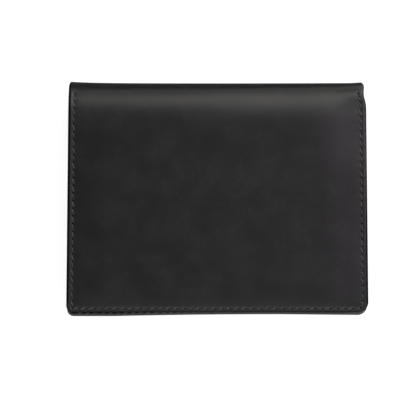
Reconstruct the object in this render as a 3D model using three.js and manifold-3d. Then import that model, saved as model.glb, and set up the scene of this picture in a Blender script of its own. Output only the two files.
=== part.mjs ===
// A bifold leather wallet, closed and lying on its rear cover. Millimetres, +Z up.
// X runs along the fold, and the note pocket opens at +X. The fold is at +Y and the free edges are at -Y.
import * as THREE from "three";
import { mergeVertices } from "three/addons/utils/BufferGeometryUtils.js";
import Module from "manifold-3d";

const wasm = await Module();
wasm.setup();

// Driving dimensions: the shell
const COVER_WIDTH = 130; // along the free edge
const CLOSED_DEPTH = 100; // from the free edge to the back of the fold
const FOLD_WAIST = 0.9; // each side of a cover draws in by this much on its way to the fold
const CORNER_RADIUS = 3.4; // free corners of the covers
const COVER_LEATHER = 1.1;
const HEM_LEATHER = 0.7; // the cover's edge, pared thin and turned in
const HEM_WIDTH = 7;
const HEM_PARING = 1; // the hem thins to nothing over this width
const EDGE_ROUND = 0.5; // roundness of the turned edge
const STIFFENER_BOARD = 0.3;
const LINING_CLOTH = 0.3;
const STIFFENER_SETBACK = 3; // the board stops this far from the fold, so that the fold stays soft
const FOLD_END_INSET_BOTTOM = 0.3; // the folded leather is pulled in at the end of the bottom seam
const FOLD_END_INSET_MOUTH = 1; // and further in at the mouth of the note pocket
const FOLD_END_SWELL = 0.4; // the doubled hems make the fold stand out at its two ends
const FOLD_SWELL_REACH = 14;

// Driving dimensions: the pockets
const NOTE_GAP = 4.2; // room for folded notes behind the inner panel
const MOUTH_SETBACK = 4; // the inner panel stops this far below the cover's mouth edge
const INNER_LEATHER = 0.5;
const POCKET_LEATHER = 0.5;
const POCKET_COUNT = 3;
const POCKET_STEP = 16; // from one pocket's lip to the next
const POCKET_DEPTH = 46; // from a lip to the floor that the card stands on
const CARD_LENGTH = 85.6; // an identity-size card
const CARD_PLAY = 0.8; // free room at each end of the card
const CARD_GAP = 0.85; // thickness of a card slot, for a 0.76 card
const LIP_RAMP = 0.6; // the sewn edges climb over each lip in this length

// Driving dimensions: the sewn edges
const EDGE_SETBACK = 0.6; // the sewn layers stop this far inside the cover's edge
const FLANGE_WIDTH = 3.2; // edge of the cover to where the sewn layers part
const BAND_WIDTH = 5.8; // edge of the cover to where the layers lie at their full height
const BINDING_LEATHER = 0.7; // strip that binds the pockets beside the fold
const STITCH_INSET = 2.4;
const STITCH_PITCH = 3.36;
const STITCH_DIP = 0.15; // how far the thread sinks at each needle hole
const THREAD_RADIUS = 0.22;
const GROOVE_WIDTH = 0.9;
const GROOVE_DEPTH = 0.75;
const FLOOR_STITCH_WIDTH = 0.8;

// Clearances
const GLUE_LINE = 0.05; // between layers that lie on each other
const SEAT_GAP = 0.1; // between a pocket's edge and the band that holds it
const HALVES_GAP = 0.4; // between the two halves when closed

// Heights in one half, measured inwards from the outer face of its cover
const HEM_TOP = COVER_LEATHER + HEM_LEATHER;
const BOARD_BOTTOM = COVER_LEATHER + GLUE_LINE;
const LINING_BOTTOM = BOARD_BOTTOM + STIFFENER_BOARD + GLUE_LINE;
const LINING_TOP = LINING_BOTTOM + LINING_CLOTH;
const INNER_BOTTOM = Math.max(HEM_TOP, LINING_TOP) + NOTE_GAP;
const INNER_TOP = INNER_BOTTOM + INNER_LEATHER;
const pocketBottom = (k) => INNER_TOP + CARD_GAP + k * (POCKET_LEATHER + CARD_GAP);
const stackTop = (pockets) => (pockets ? pocketBottom(pockets - 1) + POCKET_LEATHER : INNER_TOP);
const flangeTop = (pockets) => HEM_TOP + GLUE_LINE + INNER_LEATHER + pockets * POCKET_LEATHER;
const CLOSED_THICKNESS = 2 * stackTop(POCKET_COUNT) + HALVES_GAP;

// Places in plan
const FREE_EDGE = -CLOSED_DEPTH / 2;
const BOTTOM_EDGE = -COVER_WIDTH / 2;
const FOLD_RADIUS = CLOSED_THICKNESS / 2;
const FOLD_LINE = CLOSED_DEPTH / 2 - FOLD_END_SWELL - FOLD_RADIUS;
const FOLD_HALF_WIDTH = COVER_WIDTH / 2 - FOLD_WAIST;
const MOUTH_EDGE = COVER_WIDTH / 2 - MOUTH_SETBACK;
const POCKET_FLOOR = BOTTOM_EDGE + BAND_WIDTH + SEAT_GAP;
const POCKET_START = FREE_EDGE + BAND_WIDTH + SEAT_GAP;
const POCKET_END = POCKET_START + CARD_LENGTH + 2 * CARD_PLAY;
const pocketLip = (k) => POCKET_FLOOR + POCKET_DEPTH + (POCKET_COUNT - 1 - k) * POCKET_STEP;

const CURVE_STEPS = 6;
const FOLD_STEPS = 20;

const leather = (color, roughness) => new THREE.MeshStandardMaterial({ color, roughness, metalness: 0 });
const coverLeather = leather(0x262626, 0.45);
const innerLeather = leather(0x2a2928, 0.55);
const liningCloth = leather(0x1c1c1e, 0.9);
const stiffenerBoard = leather(0x6f5a46, 0.9);
const sewingThread = leather(0x303030, 0.7);

// A closed three.js geometry as a solid that can be joined and cut.
function solid(geometry) {
  const bare = geometry.index ? geometry.toNonIndexed() : geometry.clone();
  bare.deleteAttribute("normal");
  bare.deleteAttribute("uv");
  const merged = mergeVertices(bare);
  return new wasm.Manifold(
    new wasm.Mesh({
      numProp: 3,
      vertProperties: merged.attributes.position.array,
      triVerts: new Uint32Array(merged.index.array),
    }),
  );
}

// A cut solid as a three.js geometry again.
function geometryOf(made) {
  const mesh = made.getMesh();
  return new THREE.BufferGeometry()
    .setAttribute("position", new THREE.BufferAttribute(mesh.vertProperties, 3))
    .setIndex(new THREE.BufferAttribute(mesh.triVerts, 1));
}

function piece(name, geometry, material) {
  const mesh = new THREE.Mesh(geometry, material);
  mesh.name = name;
  return mesh;
}

// A flat plan shape given a thickness, from one height to another.
function plate(shape, bottom, top) {
  return new THREE.ExtrudeGeometry(shape, {
    depth: top - bottom,
    bevelEnabled: false,
    curveSegments: CURVE_STEPS,
  }).translate(0, 0, bottom);
}

// A side profile drawn in X and Z, run along Y.
function run(profile, start, end) {
  return new THREE.ExtrudeGeometry(profile, {
    depth: end - start,
    bevelEnabled: false,
    curveSegments: CURVE_STEPS,
  })
    .rotateX(Math.PI / 2)
    .translate(0, end, 0);
}

// A cover's edge as an open line, set in from the real edge: down the bottom seam, along the free edge and up
// the mouth side. It starts and ends at the given distance from the free edge.
function edgeLine(inset, reach, line = new THREE.Path()) {
  const slope = FOLD_WAIST / (FOLD_LINE - FREE_EDGE);
  const side = (y) => COVER_WIDTH / 2 - inset - slope * (y - FREE_EDGE);
  const low = FREE_EDGE + inset;
  const round = Math.max(CORNER_RADIUS - inset, EDGE_ROUND);
  line.moveTo(-side(reach), reach);
  line.lineTo(-side(low + round), low + round);
  line.quadraticCurveTo(-side(low), low, -side(low) + round, low);
  line.lineTo(side(low) - round, low);
  line.quadraticCurveTo(side(low), low, side(low + round), low + round);
  line.lineTo(side(reach), reach);
  return line;
}

const coverShape = (inset, reach) => edgeLine(inset, reach, new THREE.Shape());

// Everything on the fold's side of the given line, for trimming pieces that end there.
function beyond(line) {
  const size = 4 * COVER_WIDTH;
  return solid(new THREE.BoxGeometry(size, size, size).translate(0, line + size / 2, 0));
}

// The outer leather with its edge turned in on three sides, open towards the fold.
function coverGeometry() {
  const overrun = FOLD_LINE + CORNER_RADIUS;
  const blank = new THREE.ExtrudeGeometry(coverShape(0, overrun), {
    depth: HEM_TOP - 2 * EDGE_ROUND,
    bevelSize: EDGE_ROUND,
    bevelOffset: -EDGE_ROUND,
    bevelThickness: EDGE_ROUND,
    bevelSegments: 2,
    curveSegments: CURVE_STEPS,
  }).translate(0, 0, EDGE_ROUND);
  const insideHem = plate(coverShape(HEM_WIDTH, overrun), COVER_LEATHER, 2 * HEM_TOP);
  return geometryOf(
    solid(blank)
      .subtract(solid(insideHem))
      .subtract(solid(plate(grooveShape(overrun), -HEM_TOP, GROOVE_DEPTH)))
      .subtract(beyond(FOLD_LINE - GLUE_LINE)),
  );
}

// The channel that the stitches are drawn down into.
function grooveShape(reach) {
  const outer = edgeLine(STITCH_INSET - GROOVE_WIDTH / 2, reach).getPoints(CURVE_STEPS);
  const inner = edgeLine(STITCH_INSET + GROOVE_WIDTH / 2, reach).getPoints(CURVE_STEPS);
  return new THREE.Shape([...outer, ...inner.reverse()]);
}

// The seam's thread: it rises to the surface in each stitch and dips at each needle hole.
class SeamLine extends THREE.Curve {
  constructor() {
    super();
    this.plan = edgeLine(STITCH_INSET, FOLD_LINE - STITCH_INSET);
    this.stitches = Math.round(this.plan.getLength() / STITCH_PITCH);
    this.arcLengthDivisions = 8 * this.stitches;
  }

  getPoint(t, target = new THREE.Vector3()) {
    const place = this.plan.getPointAt(Math.min(Math.max(t, 0), 1));
    const sunk = (STITCH_DIP / 2) * (1 + Math.cos(2 * Math.PI * t * this.stitches));
    return target.set(place.x, place.y, GLUE_LINE + THREAD_RADIUS + sunk);
  }
}

function seamThreadGeometry() {
  const section = new THREE.Shape().absarc(0, 0, THREAD_RADIUS, 0, 2 * Math.PI);
  const seam = new SeamLine();
  return new THREE.ExtrudeGeometry(section, {
    extrudePath: seam,
    steps: 2 * seam.stitches,
    curveSegments: 2,
  });
}

// A solid through a row of stations, each a closed section and the way its points are placed in space.
// Every section has the same number of points, and both ends are closed flat.
function loft(stations) {
  const outlines = stations.map(([section, place]) => section.map(place));
  const count = outlines[0].length;
  const last = (outlines.length - 1) * count;
  const index = [];
  const [firstSection] = stations[0];
  const [lastSection] = stations.at(-1);
  THREE.ShapeUtils.triangulateShape(firstSection, []).forEach(([a, b, c]) => index.push(a, c, b));
  THREE.ShapeUtils.triangulateShape(lastSection, []).forEach(([a, b, c]) => {
    index.push(last + a, last + b, last + c);
  });
  for (let ring = 0; ring < last; ring += count) {
    for (let i = 0; i < count; i++) {
      const j = (i + 1) % count;
      index.push(ring + i, ring + j, ring + count + j, ring + i, ring + count + j, ring + count + i);
    }
  }
  return new THREE.BufferGeometry().setFromPoints(outlines.flat()).setIndex(index);
}

// Section of the sewn edge: a flange on the hem, parting to the full height of the layers that it gathers.
// Points are the distance from the cover's edge and the height.
function bandSection(pockets) {
  const middle = (FLANGE_WIDTH + BAND_WIDTH) / 2;
  const sweep = (from, to) =>
    new THREE.CubicBezierCurve(
      new THREE.Vector2(FLANGE_WIDTH, from),
      new THREE.Vector2(middle, from),
      new THREE.Vector2(middle, to),
      new THREE.Vector2(BAND_WIDTH, to),
    ).getPoints(CURVE_STEPS);
  const low = HEM_TOP + GLUE_LINE;
  const high = flangeTop(pockets);
  return [
    new THREE.Vector2(EDGE_SETBACK / 2, low),
    ...sweep(low, INNER_BOTTOM),
    ...sweep(high, stackTop(pockets)).reverse(),
    new THREE.Vector2(EDGE_SETBACK / 2, high),
  ];
}

// The sewn edge along the free end. It climbs one layer at each pocket lip and is mitred at the bottom corner.
function endBandGeometry() {
  const across = (x, pockets) => [
    bandSection(pockets),
    (p) => new THREE.Vector3(x, FREE_EDGE + p.x, p.y),
  ];
  const corner = (p) => new THREE.Vector3(BOTTOM_EDGE + p.x + SEAT_GAP, FREE_EDGE + p.x, p.y);
  const stations = [[bandSection(POCKET_COUNT), corner]];
  for (let k = POCKET_COUNT - 1; k >= 0; k--) {
    stations.push(across(pocketLip(k), k + 1), across(pocketLip(k) + LIP_RAMP, k));
  }
  return trimmedToCover(loft([...stations, across(MOUTH_EDGE, 0)]));
}

// The sewn edge along the bottom seam, from the fold to the mitre.
function bottomBandGeometry() {
  const section = bandSection(POCKET_COUNT);
  const foldEnd = (p) => new THREE.Vector3(BOTTOM_EDGE + p.x, FOLD_LINE - SEAT_GAP, p.y);
  const corner = (p) => new THREE.Vector3(BOTTOM_EDGE + p.x, FREE_EDGE + p.x, p.y);
  return trimmedToCover(
    loft([
      [section, foldEnd],
      [section, corner],
    ]),
  );
}

function trimmedToCover(geometry) {
  const cover = plate(coverShape(EDGE_SETBACK, CLOSED_DEPTH), 0, CLOSED_THICKNESS);
  return geometryOf(solid(geometry).intersect(solid(cover)));
}

// A leather panel over the card area, with a rounded edge at its mouth.
function panelGeometry(mouth, bottom, thickness) {
  const nose = thickness / 2;
  const profile = new THREE.Shape();
  profile.moveTo(POCKET_FLOOR, bottom);
  profile.lineTo(mouth - nose, bottom);
  profile.absarc(mouth - nose, bottom + nose, nose, -Math.PI / 2, Math.PI / 2);
  profile.lineTo(POCKET_FLOOR, bottom + thickness);
  return run(profile, POCKET_START, POCKET_END);
}

// The strip that binds the panel and pockets beside the fold, stepped like the lips that it holds.
function bindingGeometry() {
  const profile = new THREE.Shape();
  profile.moveTo(POCKET_FLOOR, INNER_BOTTOM);
  profile.lineTo(MOUTH_EDGE, INNER_BOTTOM);
  profile.lineTo(MOUTH_EDGE, INNER_TOP);
  for (let k = 0; k < POCKET_COUNT; k++) {
    profile.lineTo(pocketLip(k) + LIP_RAMP, stackTop(k));
    profile.lineTo(pocketLip(k), stackTop(k + 1));
  }
  profile.lineTo(POCKET_FLOOR, stackTop(POCKET_COUNT));
  const start = POCKET_END + SEAT_GAP;
  return run(profile, start, start + BINDING_LEATHER);
}

// The row of stitches across a pocket that its card stands on, drawn tight between two layers.
function floorStitchGeometry(k) {
  const from = pocketBottom(k) - CARD_GAP + GLUE_LINE;
  const to = pocketBottom(k) - GLUE_LINE;
  const nose = (to - from) / 2;
  const floor = pocketLip(k) - POCKET_DEPTH;
  const profile = new THREE.Shape();
  profile.moveTo(floor - FLOOR_STITCH_WIDTH, from);
  profile.lineTo(floor - nose, from);
  profile.absarc(floor - nose, from + nose, nose, -Math.PI / 2, Math.PI / 2);
  profile.lineTo(floor - FLOOR_STITCH_WIDTH, to);
  return run(profile, POCKET_START, POCKET_END);
}

// Everything that belongs to one cover, with the cover's outer face at height 0.
function half(name) {
  const group = new THREE.Group();
  const add = (part, geometry, material) => group.add(piece(`${name}_${part}`, geometry, material));
  const insideHem = HEM_WIDTH + SEAT_GAP;
  const board = coverShape(insideHem, FOLD_LINE - STIFFENER_SETBACK);
  const lining = coverShape(insideHem, FOLD_LINE - GLUE_LINE);
  add("cover", coverGeometry(), coverLeather);
  add("stiffener", plate(board, BOARD_BOTTOM, BOARD_BOTTOM + STIFFENER_BOARD), stiffenerBoard);
  add("cover_lining", plate(lining, LINING_BOTTOM, LINING_TOP), liningCloth);
  add("seam_thread", seamThreadGeometry(), sewingThread);
  add("end_edge_band", endBandGeometry(), innerLeather);
  add("bottom_edge_band", bottomBandGeometry(), innerLeather);
  add("inner_panel", panelGeometry(MOUTH_EDGE, INNER_BOTTOM, INNER_LEATHER), innerLeather);
  add("pocket_binding", bindingGeometry(), innerLeather);
  for (let k = 0; k < POCKET_COUNT; k++) {
    const pocket = panelGeometry(pocketLip(k), pocketBottom(k), POCKET_LEATHER);
    add(`card_pocket_${k + 1}`, pocket, innerLeather);
  }
  for (let k = 0; k < POCKET_COUNT - 1; k++) {
    add(`pocket_floor_stitch_${k + 1}`, floorStitchGeometry(k), sewingThread);
  }
  return group;
}

// How far the fold stands out beyond its middle at a place along it.
function foldSwell(x, low, high) {
  const fromEnd = Math.min(x - low, high - x);
  return FOLD_END_SWELL * (1 - THREE.MathUtils.smoothstep(fromEnd, 0, FOLD_SWELL_REACH));
}

// A sheet wrapped round the fold from the rear cover to the front one, given its outer depth and its thickness
// at each of the stations along it.
function foldGeometry(stations, low, high, depth, thickness) {
  return loft(
    stations.map((x) => {
      const swell = foldSwell(x, low, high);
      const arc = (inset) =>
        Array.from({ length: FOLD_STEPS + 1 }, (_, i) => {
          const turn = (Math.PI * i) / FOLD_STEPS;
          const reach = FOLD_RADIUS - inset;
          const y = FOLD_LINE + (reach + swell) * Math.sin(turn);
          return new THREE.Vector2(y, FOLD_RADIUS - reach * Math.cos(turn));
        });
      const section = [...arc(depth), ...arc(depth + thickness(x)).reverse()];
      return [section, (p) => new THREE.Vector3(x, p.x, p.y)];
    }),
  );
}

function foldPieces() {
  const group = new THREE.Group();
  const low = FOLD_END_INSET_BOTTOM - FOLD_HALF_WIDTH;
  const high = FOLD_HALF_WIDTH - FOLD_END_INSET_MOUTH;
  const pared = HEM_WIDTH + HEM_PARING;
  const swellEnds = [FOLD_SWELL_REACH / 2, FOLD_SWELL_REACH].filter((x) => x > pared);
  const betweenHems = [pared, ...swellEnds];
  const alongFold = (insets) => [...insets.map((x) => low + x), ...insets.map((x) => high - x).reverse()];
  const fromEnd = (x) => Math.min(x - low, high - x);
  const hem = (x) => HEM_LEATHER * (1 - THREE.MathUtils.smoothstep(fromEnd(x), HEM_WIDTH, pared));
  const leatherAt = (x) => COVER_LEATHER + hem(x);
  const leatherStations = alongFold([0, HEM_WIDTH / 2, HEM_WIDTH, ...betweenHems]);
  const foldLeather = foldGeometry(leatherStations, low, high, 0, leatherAt);
  group.add(piece("fold_leather", foldLeather, coverLeather));
  const liningDepth = COVER_LEATHER + GLUE_LINE;
  const lining = foldGeometry(alongFold(betweenHems), low, high, liningDepth, () => LINING_CLOTH);
  group.add(piece("fold_lining", lining, liningCloth));
  return group;
}

const rearHalf = half("rear");
const frontHalf = half("front"); // the rear half's mirror image, face to face with it
frontHalf.scale.z = -1;
frontHalf.position.z = CLOSED_THICKNESS;

const wallet = new THREE.Group();
wallet.add(rearHalf, frontHalf, foldPieces());

export default wallet;
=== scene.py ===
"""Dresses the bifold wallet: turned-edge leather shell, lining, card pockets, stitching and a plain stage.

The rear half is worked out with its cover's outer face at height 0 and its inside upwards. The front half
is the same thing turned over at the top of the closed wallet. Lengths are metres.
"""

import math

import bpy
import numpy as np
from bpy.props import FloatProperty, FloatVectorProperty, IntProperty, PointerProperty
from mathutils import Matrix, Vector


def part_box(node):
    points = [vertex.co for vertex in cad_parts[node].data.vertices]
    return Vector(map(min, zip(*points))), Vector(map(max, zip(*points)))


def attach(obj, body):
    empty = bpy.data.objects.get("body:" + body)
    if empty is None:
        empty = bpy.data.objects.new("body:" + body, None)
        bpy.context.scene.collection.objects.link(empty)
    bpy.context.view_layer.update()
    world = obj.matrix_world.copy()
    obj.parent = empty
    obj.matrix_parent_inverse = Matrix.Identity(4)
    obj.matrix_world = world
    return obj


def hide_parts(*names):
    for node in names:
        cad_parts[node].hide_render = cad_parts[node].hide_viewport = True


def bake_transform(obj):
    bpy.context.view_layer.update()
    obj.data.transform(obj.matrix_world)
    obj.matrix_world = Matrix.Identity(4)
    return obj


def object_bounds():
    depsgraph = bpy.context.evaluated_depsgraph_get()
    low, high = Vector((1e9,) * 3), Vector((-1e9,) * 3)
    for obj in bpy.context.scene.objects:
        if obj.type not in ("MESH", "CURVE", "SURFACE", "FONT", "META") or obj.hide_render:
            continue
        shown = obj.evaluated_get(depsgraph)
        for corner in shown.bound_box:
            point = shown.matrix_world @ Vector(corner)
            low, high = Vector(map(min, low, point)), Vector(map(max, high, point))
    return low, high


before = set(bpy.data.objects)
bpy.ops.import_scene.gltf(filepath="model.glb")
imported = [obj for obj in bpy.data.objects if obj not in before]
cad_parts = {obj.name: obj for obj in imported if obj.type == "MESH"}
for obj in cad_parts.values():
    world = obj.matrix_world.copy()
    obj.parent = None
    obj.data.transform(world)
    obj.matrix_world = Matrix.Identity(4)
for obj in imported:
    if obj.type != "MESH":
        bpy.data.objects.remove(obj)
CAD_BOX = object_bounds()

bl_info = {
    "name": "Bifold Wallet",
    "version": (1, 0, 0),
    "blender": (4, 5, 0),
    "location": "View3D > Sidebar > Wallet",
    "description": "Dresses a bifold leather wallet on its frame",
    "category": "Object",
}

HALVES = ("rear", "front")
POCKETS = (1, 2, 3)
QUARTER_TURN = math.pi / 2

# Places read from the frame
COVER_LOW, COVER_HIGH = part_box("rear_cover")
PANEL_LOW, PANEL_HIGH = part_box("rear_inner_panel")
BINDING_LOW, BINDING_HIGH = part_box("rear_pocket_binding")
BOARD_LOW, BOARD_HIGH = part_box("rear_stiffener")
LINING_LOW, LINING_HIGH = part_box("rear_cover_lining")
FOLD_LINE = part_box("fold_leather")[0].y
HEM_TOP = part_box("rear_bottom_edge_band")[0].z
FREE_EDGE = COVER_LOW.y
HALF_WIDTH = COVER_HIGH.x
WIDTH = 2 * HALF_WIDTH
COVER_LENGTH = FOLD_LINE - FREE_EDGE
THICKNESS = CAD_BOX[1].z
FOLD_RADIUS = THICKNESS / 2
PANEL_LEATHER = PANEL_HIGH.z - PANEL_LOW.z

# Section of half the fold: leather that turns a quarter circle, ever tighter towards the middle of the fold
BEND_PARTS = 800
BEND_STEPS = np.linspace(0.0, 1.0, BEND_PARTS + 1)
BEND_TURNS = QUARTER_TURN * BEND_STEPS**2
BEND_HEADINGS = (BEND_TURNS[1:] + BEND_TURNS[:-1]) / 2
BEND_REACH = np.concatenate([[0.0], np.cumsum(np.cos(BEND_HEADINGS))]) / BEND_PARTS
BEND_RISE = np.concatenate([[0.0], np.cumsum(np.sin(BEND_HEADINGS))]) / BEND_PARTS
BEND_LENGTH = FOLD_RADIUS / BEND_RISE[-1]
FOLD_PROUD = 0.00023
BEND_START = COVER_LENGTH + FOLD_RADIUS + FOLD_PROUD - BEND_LENGTH * BEND_REACH[-1]
SHEET_LENGTH = BEND_START + BEND_LENGTH

# Seams: spacing of the points along a row, width of the strip that a row can shape, a distance that counts
# as away from every row, and how far round the fold a row ends
COVER_ROW_STEP = 0.0002
INNER_ROW_STEP = 0.0004
SEAM_ZONE = 0.008
FAR_FROM_SEAM = 0.02
SEAM_END_TURN = math.radians(30)

# Pocket layers: the gap between two of them, and the creased line beside a lip
LAYER_GAP = 0.00003
LIP_CREASE = 0.0022

# Seeds of the leather's unevenness
COVER_SEED = 11
PANEL_SEED = 31

# Distances on the hide between the places where the layers, the halves' layers and the bindings are cut
LAYER_APART = 3
HALF_APART = 20
BINDING_APART = 50


# Settings


def length_setting(name, description, default):
    """A setting that holds a length."""
    return FloatProperty(name=name, description=description, default=default, unit="LENGTH", precision=5)


def colour_setting(name, description, default):
    """A setting that holds a colour."""
    return FloatVectorProperty(
        name=name, description=description, default=default, subtype="COLOR", size=3, min=0.0, max=1.0
    )


class ShellSettings(bpy.types.PropertyGroup):
    """Sizes of the outer leather and its lining"""

    cover_leather: length_setting("Cover leather", "Thickness of the outer hide", 0.0011)
    hem_width: length_setting("Hem width", "Width of the edge that is turned in", 0.007)
    fold_waist: length_setting("Waist", "How far each side draws in towards the fold", 0.0009)
    bottom_corner: length_setting("Bottom corner", "Radius of the free corner at the bottom seam", 0.0029)
    mouth_corner: length_setting("Mouth corner", "Radius of the free corner at the mouth", 0.0043)
    mouth_notch: length_setting("Mouth notch", "How far the fold is drawn in at the mouth", 0.00108)
    fold_swell: length_setting(
        "Fold swell", "How far the doubled hems stand out at the fold's ends", 0.00058
    )
    fold_corner: length_setting("Fold corner", "How far the fold's bottom end is rounded off", 0.0004)
    crown: length_setting("Crown", "How far a cover's sides lie below its middle", 0.0005)
    free_crown: length_setting(
        "Free edge crown", "How far a cover's free edge lies below its middle", 0.0007
    )
    mouth_hollow: length_setting("Mouth hollow", "How far the front cover is sunk at the mouth", 0.0014)
    mouth_flare: length_setting("Mouth flare", "How far the fold's mouth end stands out", 0.0006)
    fold_hollow: length_setting("Fold hollow", "How far the front of the fold is slack", 0.00034)
    rear_reach: length_setting("Rear reach", "Rear free edge past the frame's", 0.00076)
    front_setback: length_setting("Front setback", "Front free edge back from the frame's", 0.00128)
    rear_bow: length_setting("Rear bow", "How far the rear free edge is bowed in", 0.00081)
    front_bow: length_setting("Front bow", "How far the front free edge is bowed in", 0.00015)
    flange_setback: length_setting("Flange setback", "Edge of the cover to the panel's sewn edge", 0.0012)


class SeamSettings(bpy.types.PropertyGroup):
    """Sizes of the stitching"""

    inset: length_setting("Inset", "Side of the cover to the row of stitches", 0.00245)
    free_inset: length_setting("Free edge inset", "Free edge of the cover to the row of stitches", 0.0014)
    pitch: length_setting("Pitch", "From one stitch to the next", 0.00329)
    stitch_share: FloatProperty(
        name="Stitch share", description="Part of the pitch that a stitch covers", default=0.58, min=0.1,
        max=1.0, subtype="FACTOR",
    )
    thread_radius: length_setting("Thread radius", "Half the thickness of the thread", 0.00031)
    groove: length_setting("Groove", "How deep the row is drawn into the leather", 0.00006)
    pucker: length_setting("Pucker", "How far the leather is gathered beside a stitch", 0.0001)
    slant: FloatProperty(
        name="Slant", description="Turn of each stitch across its row", default=math.radians(14),
        subtype="ANGLE",
    )
    seed: IntProperty(name="Seed", description="Fixes the small differences between stitches", default=7)


class FinishSettings(bpy.types.PropertyGroup):
    """Colours of the materials and the stage"""

    cover_colour: colour_setting("Cover leather", "Colour of the outer hide", (0.009, 0.009, 0.009))
    inner_colour: colour_setting("Inner leather", "Colour of the panels and pockets", (0.012, 0.0115, 0.011))
    thread_colour: colour_setting("Thread", "Colour of the stitches", (0.048, 0.048, 0.048))
    lining_colour: colour_setting("Lining", "Colour of the cloth lining", (0.017, 0.017, 0.019))
    board_colour: colour_setting("Board", "Colour of the stiffener board", (0.19, 0.12, 0.07))
    floor_colour: colour_setting("Floor", "Colour of the floor", (0.22, 0.22, 0.22))


# Shapes


def as_points(*coordinates):
    """Points from their coordinates, each an array or one number."""
    return np.stack(np.broadcast_arrays(*coordinates), axis=-1)


def clamp(value):
    """A value kept between 0 and 1."""
    return np.clip(value, 0.0, 1.0)


def smooth(t):
    """Eases from 0 to 1."""
    t = clamp(t)
    return t * t * (3.0 - 2.0 * t)


def ramp(value, start, end):
    """Eases from 0 at the start to 1 at the end, which may lie below the start."""
    return smooth((value - start) / (end - start))


def hump(value, middle, spread):
    """A soft hump of height 1 at its middle."""
    return np.exp(-np.square((value - middle) / spread))


def ripple(x, y, wavelength, seed):
    """Gentle unevenness between about -1 and 1, the same every time for one seed."""
    waves, shortest, longest = 7, 0.6, 1.6
    pick = np.random.default_rng(seed)
    total = np.zeros(np.broadcast(x, y).shape)
    for _ in range(waves):
        heading = pick.uniform(0.0, math.tau)
        length = wavelength * pick.uniform(shortest, longest)
        phase = pick.uniform(0.0, math.tau)
        total += np.sin(math.tau * (x * math.cos(heading) + y * math.sin(heading)) / length + phase)
    return total / (waves / 2)


def grid_lines(length, step, low_round, high_round):
    """Places of grid lines along a length, closer together where an end is rounded."""
    lines_in_round = 6
    bend = 1.0 - np.cos(np.linspace(0.0, QUARTER_TURN, lines_in_round))
    low = low_round * bend if low_round else np.zeros(1)
    high = length - (high_round * bend)[::-1] if high_round else np.full(1, length)
    count = max(2, math.ceil((high[0] - low[-1]) / step) + 1)
    middle = np.linspace(low[-1], high[0], count)[1:-1]
    return np.concatenate([low, middle, high])


def edge_round(gap, radius):
    """Depth of a rounded edge at a distance from the edge."""
    rise = np.clip(radius - gap, 0.0, radius)
    return radius - np.sqrt(np.maximum(radius * radius - rise * rise, 0.0))


def rounded_corner(p, q, radius):
    """Moves points of a square corner into a round one. p and q are distances from the two edges.

    Returns the moved distances and the distance from the rounded outline.
    """
    inside = (p < radius) & (q < radius)
    a = np.where(inside, 1.0 - p / radius, 0.0)
    b = np.where(inside, 1.0 - q / radius, 0.0)
    moved_a = a * np.sqrt(1.0 - b * b / 2)
    moved_b = b * np.sqrt(1.0 - a * a / 2)
    gap = np.where(inside, radius * (1.0 - np.hypot(moved_a, moved_b)), np.minimum(p, q))
    p = np.where(inside, radius * (1.0 - moved_a), p)
    q = np.where(inside, radius * (1.0 - moved_b), q)
    return p, q, gap


def evenly(points, step):
    """Points at even spacing along a line of points."""
    lengths = np.concatenate([[0.0], np.cumsum(np.linalg.norm(np.diff(points, axis=0), axis=1))])
    count = max(2, round(lengths[-1] / step) + 1)
    at = np.linspace(0.0, lengths[-1], count)
    return np.stack([np.interp(at, lengths, points[:, i]) for i in range(points.shape[1])], axis=-1)


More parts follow.
